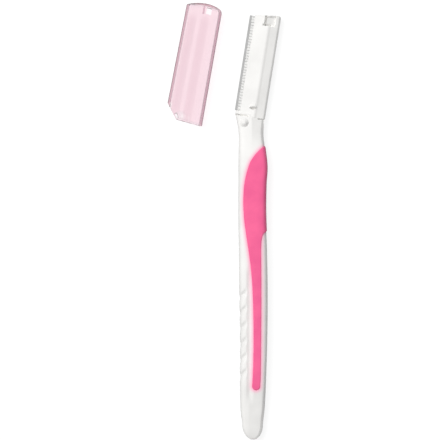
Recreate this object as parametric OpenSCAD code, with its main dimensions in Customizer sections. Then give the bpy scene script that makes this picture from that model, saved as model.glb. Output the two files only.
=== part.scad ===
// Eyebrow razor with its cap taken off, lying on its back.
// +Y runs along the handle towards the blade, +X to the spine side, +Z up.
// The origin lies on the flat back of the soft grip, on the axis of the handle.
// All lengths are in millimetres.

/* [Handle] */
// Length of the handle, from its tail to the shoulder of the blade head
handle_len = 114.2; // [95:0.1:135]
// Distance from the tail to the origin, at the middle of the wrapped grip
origin_from_tail = 77.8; // [66:0.1:84]
// Width of the handle at its widest
handle_w = 10.4; // [9:0.1:12]
// Thickness of the rigid handle, from flat to flat
handle_t = 6.6; // [5.8:0.1:7.4]
// Length of the rounding of the tail
tail_round = 4.5; // [3:0.5:8]
// How far the middle of the head's shoulder lies off the handle's axis
neck_offset = 1.3; // [0.8:0.1:1.8]

/* [Finger rail] */
// Depth of the long channel beside the rail
rail_channel_depth = 0.3; // [0.2:0.05:0.5]
// Width of the long channel
rail_channel_w = 1.2; // [0.9:0.1:1.4]
// Distance from the handle's axis to the middle of the channel
rail_channel_x = 1.3; // [1.2:0.05:1.7]
// Number of slanted finger notches across the rail
notch_count = 6; // [3:1:8]
// Distance from one notch to the next
notch_pitch = 5.6; // [4.8:0.1:6.2]
// Distance from the origin down to the first notch
notch_start = 25.5; // [24:0.5:30]
// Depth of a notch
notch_depth = 0.5; // [0.3:0.05:0.7]
// Width of a notch
notch_w = 1.5; // [1:0.1:2]
// How far a notch draws in the edge of the handle
notch_inset = 0.25; // [0.1:0.05:0.4]
// Slant of a notch against the width of the handle, in degrees
notch_slant = 38; // [20:1:45]

/* [Soft grip] */
// Depth of the recess that the soft grip fills
grip_depth = 1.2; // [0.8:0.1:1.6]
// How far the soft grip stands proud of the rigid handle
grip_proud = 0.25; // [0.1:0.05:0.4]
// Gap between the soft grip and the walls of its recess
bond_gap = 0.04; // [0.02:0.01:0.08]

/* [Blade head] */
// Tilt of the head against the handle, in degrees
head_tilt = 9.1; // [4:0.1:14]
// Width of the head, from the blade's edge to the spine
head_w = 11; // [10.4:0.1:11.4]
// Length of the foot that closes the head below the blade
foot_len = 1.6; // [1.2:0.1:2.4]
// Slant of the head's free end, in degrees
head_slant = 7.2; // [0:0.1:10]
// Thickness of the head over its ridge
head_t = 3.9; // [3.6:0.1:4.2]
// Thickness of the head beside the guard combs
head_edge_t = 2.7; // [2.4:0.1:3]
// Thickness of the head at its spine
head_spine_t = 2.2; // [1.8:0.1:2.4]
// Width of the slope that falls from the ridge to the spine
head_slope_w = 3.7; // [3:0.1:4.6]
// Radius of the corner at the free end
head_corner_r = 0.9; // [0.5:0.1:1.2]
// Width of the key notch in the free end
key_notch_w = 3.9; // [3.4:0.1:4.2]
// Depth of the key notch
key_notch_depth = 3.8; // [3:0.1:4.5]
// Thickness of the tang that plugs into the handle
tang_t = 1.9; // [1.5:0.1:2.1]
// Width of the tang
tang_w = 4.6; // [3:0.1:5.4]
// Length of the tang
tang_len = 9; // [6:0.5:12]
// Gap around the tang, the cover's tongue and the pins
fit_gap = 0.06; // [0.04:0.01:0.1]

/* [Blade] */
// Thickness of the blade
blade_t = 0.25; // [0.2:0.01:0.3]
// Width of the blade
blade_w = 5.2; // [4.9:0.1:5.6]
// Length of the blade
blade_len = 33.9; // [30:0.1:38]
// Width of the ground bevel
bevel_w = 0.7; // [0.4:0.1:1]
// Diameter of the locating pins
pin_d = 1.8; // [1.5:0.1:2]
// Distance from each end of the blade to its locating pin
pin_inset = 4.8; // [3.5:0.1:8]

/* [Guard combs] */
// Thickness of a guard comb
comb_t = 0.4; // [0.3:0.05:0.5]
// How far the blade's edge stands out of the combs
edge_reach = 0.8; // [0.6:0.1:1]
// Length of the comb's teeth
tooth_len = 1.1; // [0.8:0.1:1.3]
// Distance from one tooth to the next
tooth_pitch = 1; // [0.8:0.1:1.4]

/* [Cap] */
// Wall thickness of the cap
cap_wall = 0.8; // [0.6:0.05:0.9]
// Gap between the cap and each side of the head
cap_gap = 0.25; // [0.15:0.05:0.5]
// Length of the cap past the corner of the head, when it is on
cap_spare = 2.7; // [2.6:0.1:4]
// How far the mouth of the cap passes the head's shoulder, when it is on
cap_seat = 4.7; // [4.4:0.1:5.4]
// Thickness of the cap's closed end
cap_end_t = 0.8; // [0.7:0.1:1.1]
// Half thickness of the cap at its side on the blade's side
cap_side_t = 2.95; // [2.85:0.05:3.1]
// Half thickness of the cap at its spine side
cap_spine_t = 2.85; // [2.8:0.05:3]
// How far the middle of the closed end bulges
cap_crown = 1.4; // [0.6:0.1:2]
// Distance that the cap lies beside the head, from shoulder to mouth
cap_aside = 23.4; // [20:0.1:28]
// Distance that the mouth lies below the head's shoulder
cap_below = 2.1; // [0:0.1:5]
// Tilt of the cap as it lies, in degrees
cap_tilt = 10.5; // [4:0.1:14]

/* [Hidden] */

// Colours
abs_white = "#F4F3F1";
comb_white = "#ECEBE8";
grip_pink = "#F4679A";
steel_grey = "#B9BBBD";
cap_pink = [1, 0.82, 0.88, 0.6];

// One overrun serves all cuts, and one small gap parts stacked layers
overrun = 1;
stack_gap = 0.02;

// Heights
half_w = handle_w / 2;
half_t = handle_t / 2;
mid_z = half_t + grip_proud;
tail_y = -origin_from_tail;
shoulder_y = handle_len - origin_from_tail;

// Handle: share of the length from the tail, then the reach to the left and to the
// right as shares of the half width, and the share of the half thickness
handle_shares = [
    [0, 0.64, 0.62, 0.36], [0.05, 0.75, 0.67, 0.52], [0.10, 0.865, 0.79, 0.69],
    [0.19, 0.90, 0.885, 0.92], [0.31, 0.895, 0.965, 1], [0.45, 0.945, 0.99, 1],
    [0.58, 0.97, 0.95, 1], [0.70, 1.01, 0.855, 1], [0.79, 1, 0.875, 1],
    [0.845, 1, 0.945, 1], [0.90, 0.98, 0.825, 0.87], [0.95, 0.99, 0.735, 0.70],
    [1, 1.19, 0.815, 0.59]];
// Places of the section's points as shares of the half width, from left to right
section_shares = [-1, -0.985, -0.94, -0.87, -0.78, -0.68, -0.58, -0.49, -0.41,
    -0.33, -0.25, -0.17, -0.09, -0.02, 0.3, 0.6, 0.78, 0.9, 0.97, 1];
plain_shares = [-1, -0.97, -0.88, -0.72, -0.5, 0, 0.5, 0.72, 0.88, 0.97, 1];
// Exponent of the section's rounding, and how far the rounding is cut flat
round_power = 3.8;
flat_share = 1.1;
// Where the neck starts to lean towards the head
lean_share = 0.86;
// Where the neck's flat starts to fall towards the spine side, and its slope there
neck_ridge_x = 0.2;
neck_fall = 0.22;
// Distance between the rings of a loft, and the number of rings to a notch
ring_step = 2.4;
notch_rings = 6;
// Distance from the origin down to the upper end of the rail's channel
channel_start = 14.5;
// Distance from the handle's axis to the inner end of a notch
notch_foot_x = 1.75;

// Soft grip: places along the handle as shares of its length, and the edges of the
// grip as shares of the handle's half width
grip_left_shares = [[0.158, -0.085], [0.20, -0.03], [0.29, 0.025], [0.39, 0.005],
    [0.465, -0.05], [0.527, -0.15], [0.582, -0.305], [0.632, -0.47], [0.68, -0.61],
    [0.73, -0.675], [0.77, -0.65], [0.80, -0.575], [0.833, -0.41], [0.86, -0.20],
    [0.88, 0.08], [0.896, 0.38], [0.909, 0.69], [0.916, 0.92]];
grip_right_shares = [[0.158, 0.55], [0.20, 0.585], [0.30, 0.607], [0.45, 0.607],
    [0.58, 0.58], [0.61, 0.58], [0.623, 0.60], [0.637, 0.69], [0.646, 0.90],
    [0.65, 1.05]];
grip_steps = 48;
grip_end_steps = 12;
grip_margin_share = 0.025;

// Blade head, in its own frame: X across from the blade to the spine, Y along
half_head_w = head_w / 2;
blade_y = foot_len + fit_gap;
head_len = blade_y + blade_len + fit_gap;
comb_tip = -half_head_w + edge_reach;
face_left = comb_tip + tooth_len;
ridge_x = half_head_w - head_slope_w;
blade_back = -half_head_w + blade_w;
seat_x = blade_back + fit_gap;
pin_x = (face_left + blade_back) / 2;
key_notch_x = -0.1;
key_slot_w = 1.05;
key_shelf = 0.9;
key_lip = 0.35;
shoulder_step = 0.5;
tongue_x = 0.5;
tongue_w = 2.4;
tongue_len = 2.5;
tongue_root_x = -0.3;
tongue_floor = tang_t / 2 + stack_gap;
face_chamfer = 0.25;
spine_r = head_spine_t / 2;
spine_c = half_head_w - spine_r;
spine_turn = atan2(head_t / 2, ridge_x - spine_c)
    - acos(spine_r / norm([ridge_x - spine_c, head_t / 2]));
comb_back = -0.9;
comb_z = blade_t / 2 + stack_gap;
tooth_share = 0.55;
snap_x = 0.68;
snap_y = 3.51;
snap_w = 2.3;
snap_r = 0.9;
snap_proud = 0.35;
snap_slot_w = 0.8;
snap_slot_depth = 0.9;
pin_head_d = 2.8;
pin_head_t = 0.5;
stake_floor = 1.25;
foot_reach = 1.6;
foot_t = 1.1;

// Snap lobe on the neck, and the pocket in the cap that takes it
lobe_x = -1.3;
lobe_r = 1.65;
lobe_y = -lobe_r - fit_gap;
lobe_top = 2.8;
lobe_base = 1.75;
lobe_steps = 8;
pocket_y = cap_seat + lobe_y;
pocket_gap = 0.15;

// Cap, in its own frame: Y runs from the mouth to the closed end
cap_len = cap_seat + head_len + cap_spare;
half_cap_w = half_head_w + cap_gap + cap_wall;
half_cap_t = mid_z;
cap_lean = 0.2;
mouth_half_w = half_cap_w + cap_lean;
cap_flat_left = -3.7;
cap_flat_right = 0.9;
cap_round = 0.7;
crown_x = 0.8;
mouth_corner_x = -2.95;
mouth_corner = 1.2;
mouth_step_x = -2.4;
mouth_step = 0.8;
mouth_chamfer = 5.9;
window_x = 0.85;
window_w = 1.9;
window_len = 2.7;
key_rib_t = 0.5;
key_rib_x = 0.05;
key_rib_len = 3.4;
key_rib_floor = 1;
arc_steps = 4;
spine_steps = 6;
crown_steps = 12;

// Eases from 0 to 1, and a smooth hump that is 1 at 0 and ends at -1 and 1
function ease(t) = t <= 0 ? 0 : t >= 1 ? 1 : t * t * (3 - 2 * t);
function hump(t) = abs(t) >= 1 ? 0 : (1 + cos(180 * t)) / 2;

// Smooth curve through the rows of a table: column c at the place s
function span_of(t, s, i = 0) = i >= len(t) - 2 || s < t[i + 1][0] ? i : span_of(t, s, i + 1);
function slope_at(t, i, c) =
    let (a = max(i - 1, 0), b = min(i + 1, len(t) - 1)) (t[b][c] - t[a][c]) / (t[b][0] - t[a][0]);
function along(t, s, c) =
    let (i = span_of(t, s), w = t[i + 1][0] - t[i][0], q = (s - t[i][0]) / w)
    (2 * q ^ 3 - 3 * q ^ 2 + 1) * t[i][c] + (q ^ 3 - 2 * q ^ 2 + q) * w * slope_at(t, i, c)
    + (3 * q ^ 2 - 2 * q ^ 3) * t[i + 1][c] + (q ^ 3 - q ^ 2) * w * slope_at(t, i + 1, c);

// Convex outline drawn in by d, and an outline with its corners rounded to radius r
function unit(v) = v / norm(v);
function inset(p, d) = [for (i = [0 : len(p) - 1])
    let (a = unit(p[i] - p[(i + len(p) - 1) % len(p)]), b = unit(p[(i + 1) % len(p)] - p[i]))
    p[i] + d * ([-a.y, a.x] + [-b.y, b.x]) / (1 + a * b)];
function rounded(p, r, n = arc_steps) = [for (i = [0 : len(p) - 1])
    let (a = unit(p[(i + len(p) - 1) % len(p)] - p[i]), b = unit(p[(i + 1) % len(p)] - p[i]),
        half = acos(a * b) / 2, mid = unit(a + b), c = p[i] + mid * r / sin(half),
        start = -mid * cos(90 - half) * r, turn = 180 - 2 * half)
    for (k = [0 : n]) let (g = turn * (k / n - 0.5))
        c + r * [-mid.x * cos(g) + mid.y * sin(g), -mid.x * sin(g) - mid.y * cos(g)]];

// Depth of the rail's channel and of its slanted notches at a place on the handle
function channel_depth(x, y) = rail_channel_depth * hump((x + rail_channel_x) / rail_channel_w)
    * ease((y + notch_start + notch_count * notch_pitch + notch_pitch) / notch_pitch)
    * ease((-y - channel_start) / notch_pitch);
function notch_shift(x, y) = -y - notch_start + (x + half_w - notch_foot_x) * tan(notch_slant);
function notch_at(x, y) =
    let (k = min(max(round(notch_shift(x, y) / notch_pitch), 0), notch_count - 1))
    hump((notch_shift(x, y) - k * notch_pitch) / notch_w * cos(notch_slant));
function rail_relief(x, y) = max(channel_depth(x, y),
    notch_depth * notch_at(x, y) * ease((-rail_channel_x - x) / rail_channel_w + 1));

// One ring of the handle at share s, grown by g all round
function ring_y(s) = tail_y + s * handle_len;
function tail_factor(s) =
    let (q = min(s * handle_len / tail_round, 1)) sqrt(1 - (1 - q) ^ 2);
function ring(s, g, places, relief) =
    let (f = tail_factor(s), reach = half_w * along(handle_shares, s, 1) * f + g,
        left = reach - (relief ? notch_inset * notch_at(-reach, ring_y(s)) : 0),
        right = half_w * along(handle_shares, s, 2) * f + g,
        t = half_t * min(along(handle_shares, s, 3), 1) * f + g,
        neck = ease((s - lean_share) / (1 - lean_share)), n = len(places))
    [for (k = [0 : 2 * n - 3])
        let (front = k < n, u = front ? places[k] : places[2 * n - 2 - k],
            x = u * (u < 0 ? left : right),
            rise = min(1, flat_share * (1 - abs(u) ^ round_power) ^ (1 / round_power)),
            fall = max(x - neck_ridge_x, 0) * neck_fall * neck,
            h = max((t - fall) * rise - (relief ? rail_relief(x, ring_y(s)) * ease(rise) : 0), 0))
        [x, ring_y(s) - (x + neck_offset) * tan(head_tilt) * neck, mid_z + (front ? h : -h)]];

// Closed solid through rings of equal length
module loft(rings) {
    n = len(rings[0]);
    m = len(rings);
    polyhedron(
        points = [for (r = rings) each r],
        faces = concat(
            [[for (k = [0 : n - 1]) k]],
            [[for (k = [n - 1 : -1 : 0]) (m - 1) * n + k]],
            [for (i = [0 : m - 2]) for (k = [0 : n - 1]) let (a = i * n + k, b = i * n + (k + 1) % n)
                each [[a, a + n, b], [b, a + n, b + n]]]));
}

// Places of the rings, closer along the tail's rounding and along the notches
tail_ring_shares = [0.03, 0.12, 0.3, 0.55, 0.8];
tail_rings = tail_ring_shares * tail_round / handle_len;
rail_top = (origin_from_tail - notch_start + notch_pitch / 2) / handle_len;
rail_end = rail_top - notch_count * notch_pitch / handle_len;
function even(a, b, step) = let (n = ceil((b - a) * handle_len / step)) [for (k = [0 : n - 1]) a + (b - a) * k / n];
body_places = concat(tail_rings, even(tail_round / handle_len, rail_end, ring_step),
    even(rail_end, rail_top, notch_pitch / notch_rings), even(rail_top, 1, ring_step), [1]);
grip_low = grip_left_shares[0][0];
grip_high = grip_left_shares[len(grip_left_shares) - 1][0];
grip_places = concat(even(grip_low - grip_margin_share, grip_high + grip_margin_share, ring_step),
    [grip_high + grip_margin_share]);

// Outline of the soft grip, seen from the front, grown by g
function grip_edge(t, g) = [for (k = [0 : grip_steps])
    let (s = t[0][0] + (t[len(t) - 1][0] - t[0][0]) * k / grip_steps)
    [half_w * along(t, s, 1) + g, ring_y(s)]];
module grip_outline(g) {
    left = grip_edge(grip_left_shares, -g);
    right = grip_edge(grip_right_shares, g);
    end_r = (right[0].x - left[0].x) / 2;
    end_x = (right[0].x + left[0].x) / 2;
    polygon(concat(
        [for (k = [1 : grip_end_steps - 1]) let (a = 180 * (1 + k / grip_end_steps))
            [end_x + end_r * cos(a), left[0].y + end_r * sin(a)]],
        right,
        [[handle_w, right[grip_steps].y], [handle_w, left[grip_steps].y + g]],
        [for (k = [grip_steps : -1 : 0]) left[k]]));
}
module grip_prism(g) {
    translate([0, 0, -overrun])
        linear_extrude(2 * mid_z + 2 * overrun) grip_outline(g);
}

module at_head() {
    translate([-neck_offset, shoulder_y, mid_z]) rotate([0, 0, -head_tilt]) children();
}
module at_cap() {
    translate([-neck_offset - cap_aside, shoulder_y - cap_below, mid_z]) rotate([0, 0, -cap_tilt]) children();
}
// Draws children on the front and on the back of the middle plane
module both_faces() {
    children();
    mirror([0, 0, 1]) children();
}

module tang(g) {
    translate([-tang_w / 2 - g, -tang_len - g, -tang_t / 2 - g])
        cube([tang_w + 2 * g, tang_len + 2 * g + shoulder_step, tang_t + 2 * g]);
}
module tongue_block(g) {
    translate([tongue_x - g, -tongue_len - g, tongue_floor - g])
        cube([tongue_w + 2 * g, tongue_len + g + 2 * shoulder_step, half_t]);
}
module tongue_root() {
    translate([tongue_root_x, fit_gap, tongue_floor])
        cube([tongue_x + tongue_w - tongue_root_x, 2 * shoulder_step, half_t]);
}

// Domed lobe that is grown by g, above the middle plane
module lobe(g) {
    rotate_extrude($fn = 64) polygon(concat([[0, 0], [lobe_r + g, 0]],
        [for (k = [lobe_steps : -1 : 0]) let (q = k / lobe_steps)
            [(lobe_r + g) * sin(90 * q), lobe_base + g + (lobe_top - lobe_base) * cos(90 * q)]]));
}

module handle_body() {
    color(abs_white) {
        difference() {
            union() {
                loft([for (s = body_places) ring(s, 0, section_shares, true)]);
                at_head() both_faces() translate([lobe_x, lobe_y, 0]) lobe(0);
            }
            difference() {
                grip_prism(bond_gap);
                loft([for (s = grip_places) ring(s, -grip_depth, plain_shares, false)]);
            }
            at_head() {
                tang(fit_gap);
                tongue_block(fit_gap);
            }
        }
    }
}

module soft_grip() {
    color(grip_pink) difference() {
        intersection() {
            loft([for (s = grip_places) ring(s, grip_proud, plain_shares, false)]);
            grip_prism(0);
        }
        loft([for (s = grip_places) ring(s, bond_gap - grip_depth, plain_shares, false)]);
    }
}

// Slanted free end of the head at a place across it
function end_y(x) = head_len + (x + half_head_w) * tan(head_slant);

// Section of one half of the head, above the middle plane
module half_section() {
    pocket = comb_z + comb_t + stack_gap;
    polygon(concat(
        [[face_left, pocket], [seat_x, pocket], [seat_x, stack_gap / 2], [half_head_w, stack_gap / 2]],
        [for (k = [1 : spine_steps]) let (a = spine_turn * k / spine_steps)
            [spine_c + spine_r * cos(a), spine_r * sin(a)]],
        [[ridge_x, head_t / 2], [face_left + face_chamfer, head_edge_t / 2],
            [face_left, head_edge_t / 2 - face_chamfer]]));
}
module section_prism() {
    translate([0, 2 * head_len, 0]) rotate([90, 0, 0]) linear_extrude(3 * head_len) half_section();
}
module half_head(low) {
    intersection() {
        section_prism();
        linear_extrude(head_t) polygon(concat(
            [[face_left, low], [half_head_w, low]],
            [for (k = [0 : arc_steps]) let (a = k * (90 + head_slant) / arc_steps)
                [half_head_w - head_corner_r * (1 - cos(a)),
                    end_y(half_head_w) - head_corner_r * (1 + tan(head_slant)) + head_corner_r * sin(a)]],
            [[face_left, end_y(face_left)]]));
    }
}
// Foot below the end of the blade, on one half of the head
module foot(low) {
    translate([face_left - foot_reach, low, stack_gap / 2])
        cube([foot_reach + comb_t, foot_len - low, foot_t]);
}
// Ridge that the cap snaps over, and the slot below it
module snap_ridge() {
    translate([snap_x - snap_w / 2, snap_y + snap_slot_w / 2, head_t / 2 + snap_proud - snap_r])
        rotate([0, 90, 0]) cylinder(h = snap_w, r = snap_r, $fn = 32);
}
module snap_slot() {
    translate([snap_x - snap_w / 2 - fit_gap, snap_y - snap_slot_w / 2, head_t / 2 - snap_slot_depth])
        cube([snap_w + 2 * fit_gap, snap_slot_w, 2 * snap_slot_depth]);
}
module at_pins() {
    for (y = [blade_y + pin_inset, blade_y + blade_len - pin_inset]) translate([pin_x, y, 0]) children();
}

// Notch in the free end: a through slot for the cap's rib, and a shallow shelf beside it
module key_notch() {
    translate([key_notch_x, end_y(key_notch_x) - key_notch_depth, 0]) {
        translate([0, 0, -overrun]) cube([key_slot_w, key_notch_depth + overrun, head_t]);
        translate([0, 0, key_shelf]) cube([key_notch_w, key_notch_depth - key_lip, head_t]);
    }
}

module blade_holder() {
    color(abs_white) at_head() difference() {
        union() {
            mirror([0, 0, 1]) {
                half_head(0);
                foot(0);
                snap_ridge();
            }
            tang(0);
        }
        mirror([0, 0, 1]) snap_slot();
        translate([0, 0, -head_t]) at_pins() cylinder(h = head_t, d = pin_d + 2 * fit_gap, $fn = 32);
        translate([0, 0, -head_t]) at_pins()
            cylinder(h = head_t - stake_floor, d = pin_head_d + 2 * fit_gap, $fn = 32);
    }
}

module blade_cover() {
    color(abs_white) at_head() {
        difference() {
            union() {
                half_head(shoulder_step + fit_gap);
                foot(shoulder_step + fit_gap);
                snap_ridge();
                intersection() {
                    section_prism();
                    union() {
                        tongue_block(0);
                        tongue_root();
                    }
                }
            }
            snap_slot();
            key_notch();
        }
        translate([0, 0, -stake_floor - pin_head_t / 2]) at_pins()
            cylinder(h = stake_floor + pin_head_t / 2 + comb_z + 2 * comb_t, d = pin_d, $fn = 32);
        translate([0, 0, -stake_floor - pin_head_t]) at_pins()
            cylinder(h = pin_head_t, d = pin_head_d, $fn = 32);
    }
}

module blade() {
    color(steel_grey) at_head() difference() {
        translate([0, blade_y + blade_len, 0]) rotate([90, 0, 0]) linear_extrude(blade_len)
            polygon([[-half_head_w, 0], [-half_head_w + bevel_w, -blade_t / 2], [blade_back, -blade_t / 2],
                [blade_back, blade_t / 2], [-half_head_w + bevel_w, blade_t / 2]]);
        translate([0, 0, -overrun]) at_pins() cylinder(h = 2 * overrun, d = pin_d + 2 * fit_gap, $fn = 32);
    }
}

// Comb with its teeth towards the blade's edge, above the middle plane
module guard_comb() {
    teeth = floor(blade_len / tooth_pitch);
    root = blade_y + (blade_len - teeth * tooth_pitch) / 2;
    gap = tooth_pitch * (1 - tooth_share) / 2;
    at_head() translate([0, 0, comb_z]) difference() {
        linear_extrude(comb_t) polygon(concat(
            [[comb_back, blade_y], [comb_back, blade_y + blade_len], [face_left - stack_gap, blade_y + blade_len]],
            [for (k = [teeth - 1 : -1 : 0]) let (y = root + k * tooth_pitch)
                each [[face_left - stack_gap, y + tooth_pitch - gap], [comb_tip, y + tooth_pitch - gap],
                    [comb_tip, y + gap], [face_left - stack_gap, y + gap]]],
            [[face_left - stack_gap, blade_y]]));
        translate([0, 0, -overrun]) at_pins() cylinder(h = 2 * overrun + comb_t, d = pin_d + 2 * fit_gap, $fn = 32);
    }
}
module guard_comb_front() {
    color(comb_white) guard_comb();
}
module guard_comb_back() {
    color(comb_white) translate([0, 0, 2 * mid_z]) mirror([0, 0, 1]) guard_comb();
}

// Section of the cap at half width w, and the curve of its closed end: half width w, moved by d,
// bulging by b with its top at x
function cap_section(w) = [[-w, -cap_side_t], [cap_flat_left, -half_cap_t],
    [cap_flat_right, -half_cap_t], [w, -cap_spine_t], [w, cap_spine_t],
    [cap_flat_right, half_cap_t], [cap_flat_left, half_cap_t], [-w, cap_side_t]];
function crown(w, d, b, x) = [for (k = [crown_steps : -1 : 0])
    let (u = w * (2 * k / crown_steps - 1), reach = u < x ? w + x : w - x)
    [u, cap_len + d - b * ((u - x) / reach) ^ 2]];
module cap_outer() {
    intersection() {
        translate([0, 2 * cap_len, 0]) rotate([90, 0, 0]) linear_extrude(3 * cap_len)
            polygon(rounded(cap_section(mouth_half_w), cap_round));
        translate([0, 0, -2 * half_cap_t]) linear_extrude(4 * half_cap_t) polygon(concat(
            crown(half_cap_w - cap_lean, 0, cap_crown, crown_x),
            [[-mouth_half_w, mouth_chamfer], [mouth_corner_x, mouth_corner],
                [mouth_step_x, mouth_step], [mouth_half_w, 0]]));
    }
}
module cap_inner() {
    intersection() {
        translate([0, 2 * cap_len, 0]) rotate([90, 0, 0]) linear_extrude(3 * cap_len)
            polygon(inset(cap_section(half_cap_w), cap_wall));
        translate([0, 0, -2 * half_cap_t]) linear_extrude(4 * half_cap_t) polygon(concat(
            crown(half_cap_w - cap_end_t, -cap_end_t, cap_crown / 2, 0),
            [[-half_cap_w, -overrun], [half_cap_w, -overrun]]));
    }
}
module blade_cap() {
    color(cap_pink) at_cap() {
        difference() {
            cap_outer();
            cap_inner();
            translate([window_x, cap_len - cap_end_t - window_len, -2 * half_cap_t])
                cube([window_w, window_len, 4 * half_cap_t]);
            both_faces() translate([lobe_x, pocket_y, 0]) lobe(pocket_gap);
        }
        translate([key_rib_x, cap_len - cap_end_t / 2 - key_rib_len, key_rib_floor])
            cube([key_rib_t, key_rib_len, half_cap_t - cap_wall / 2 - key_rib_floor]);
    }
}

handle_body();
soft_grip();
blade_holder();
blade_cover();
blade();
guard_comb_front();
guard_comb_back();
blade_cap();
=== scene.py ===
# Eyebrow razor with its clear cap beside it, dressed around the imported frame.
# Lengths are in millimetres until a mesh is written, and +Y runs from the tail to the blade.
import bpy
import bmesh
import math
import numpy as np
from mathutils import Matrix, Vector


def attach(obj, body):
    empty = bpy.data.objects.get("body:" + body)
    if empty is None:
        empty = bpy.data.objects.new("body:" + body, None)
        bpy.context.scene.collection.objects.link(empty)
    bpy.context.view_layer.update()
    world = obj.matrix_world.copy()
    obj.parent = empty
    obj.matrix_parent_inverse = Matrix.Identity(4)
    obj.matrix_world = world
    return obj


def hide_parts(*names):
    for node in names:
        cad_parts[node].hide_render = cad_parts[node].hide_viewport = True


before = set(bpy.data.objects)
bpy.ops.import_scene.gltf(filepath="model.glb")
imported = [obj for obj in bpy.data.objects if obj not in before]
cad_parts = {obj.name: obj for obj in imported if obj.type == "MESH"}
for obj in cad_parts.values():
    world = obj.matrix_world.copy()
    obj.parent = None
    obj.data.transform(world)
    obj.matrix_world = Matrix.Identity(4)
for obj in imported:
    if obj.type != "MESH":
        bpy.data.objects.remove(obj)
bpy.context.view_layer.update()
print("frame loaded:", len(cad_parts), "nodes")

mm = 0.001
weldDistance = 4e-7  # metres
tiny = 1e-6  # slack for counts and tests that would turn on rounding

layout = {
    "midZ": 3.55,  # height of the plane that halves the razor
    "head": (-1.3, 36.4, 9.1),  # middle of its shoulder, and its tilt in degrees
    "cap": (-24.7, 34.3, 10.5),  # middle of its mouth, and its tilt
}


# Helpers for numbers

def ease(t):
    # rises from 0 to 1 as three t squared less two t cubed
    t = np.clip(t, 0, 1)
    return t * t * (3 - 2 * t)


def hump(t):
    # half of one plus the cosine of pi t, and 0 beyond -1 and 1
    return np.where(np.abs(t) < 1, (1 + np.cos(np.pi * np.clip(t, -1, 1))) / 2, 0)


def softLeast(a, b, width):
    # the lesser of a and b, with a parabola of that width where they cross
    gap = np.clip((width - np.abs(a - b)) / width, 0, 1)
    return np.minimum(a, b) - gap * gap * width / 4


def quarterRound(d, radius):
    # drop of a rounded edge at distance d from it: radius less the height of a quarter circle
    q = 1 - np.clip(d / radius, 0, 1)
    return radius * (1 - np.sqrt(1 - q * q))


def roundIn(count):
    # shares from 0 to 1, close together near 0: one less a cosine
    return 1 - np.cos(np.linspace(0, np.pi / 2, count))


def roundOut(count):
    # shares from 1 to 0, close together near 0: one less a sine
    return 1 - np.sin(np.linspace(0, np.pi / 2, count))


def along(table, s, column):
    # cubic pieces through the rows of a table, each row's slope taken from its neighbours
    rows = np.array(table, float)
    x, y = rows[:, 0], rows[:, column]
    before = np.maximum(np.arange(len(x)) - 1, 0)
    after = np.minimum(np.arange(len(x)) + 1, len(x) - 1)
    slope = (y[after] - y[before]) / (x[after] - x[before])
    i = np.clip(np.searchsorted(x, s, side="right") - 1, 0, len(x) - 2)
    w = x[i + 1] - x[i]
    q = (s - x[i]) / w
    low = (2 * q**3 - 3 * q**2 + 1) * y[i] + (q**3 - 2 * q**2 + q) * w * slope[i]
    high = (3 * q**2 - 2 * q**3) * y[i + 1] + (q**3 - q**2) * w * slope[i + 1]
    return low + high


def nearest(points, curve, portion=2000):
    # distance from each point to the nearest point of a curve, worked out in portions
    flat = points.reshape(-1, 3)
    parts = np.array_split(flat, max(1, len(flat) // portion))
    least = [np.sqrt(((p[:, None] - curve[None]) ** 2).sum(-1).min(1)) for p in parts]
    return np.concatenate(least).reshape(points.shape[:-1])


def roundedPath(corners, radii, step):
    # straight runs joined by arcs of the given radii, as points at about an even step
    corners = np.array(corners, float)
    path = [corners[:1]]
    for before, corner, after, r in zip(corners, corners[1:], corners[2:], radii):
        a = (before - corner) / np.linalg.norm(before - corner)
        b = (after - corner) / np.linalg.norm(after - corner)
        half = math.acos(float(np.clip(a @ b, -1, 1))) / 2
        turn = math.pi - 2 * half
        reach = r / math.tan(half)
        centre = corner + (a + b) / np.linalg.norm(a + b) * r / math.sin(half)
        start, end = corner + a * reach - centre, corner + b * reach - centre
        t = np.linspace(0, 1, max(3, math.ceil(r * turn / step)))[:, None]
        arc = np.sin((1 - t) * turn) * start + np.sin(t * turn) * end
        path.append(centre + arc / math.sin(turn))
    path.append(corners[-1:])
    return np.concatenate(path)


def ticks(stops, step, gap):
    # even steps between stops, with a pair of lines that close together at each inner stop
    edges = [stops[0]]
    for stop in stops[1:-1]:
        edges += [stop - gap / 2, stop + gap / 2]
    edges.append(stops[-1])
    runs = [np.linspace(a, b, max(1, math.ceil((b - a) / step - tiny)) + 1)[:-1]
            for a, b in zip(edges, edges[1:])]
    return np.append(np.concatenate(runs), edges[-1])


def placed(points, plan):
    # turns points of a plan clockwise by its tilt and moves them to its place
    x, y, tilt = layout[plan]
    c, s = math.cos(math.radians(tilt)), math.sin(math.radians(tilt))
    u, v, w = np.moveaxis(points, -1, 0)
    return np.stack([x + u * c + v * s, y - u * s + v * c, layout["midZ"] + w], -1)


def backFace(points):
    # the same points mirrored in the plane that halves a piece, before it is placed
    return points * np.array([1, 1, -1])


# Helpers for meshes

def shown(name, data):
    # an object that stands in the scene
    thing = bpy.data.objects.new(name, data)
    bpy.context.scene.collection.objects.link(thing)
    return thing


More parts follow.
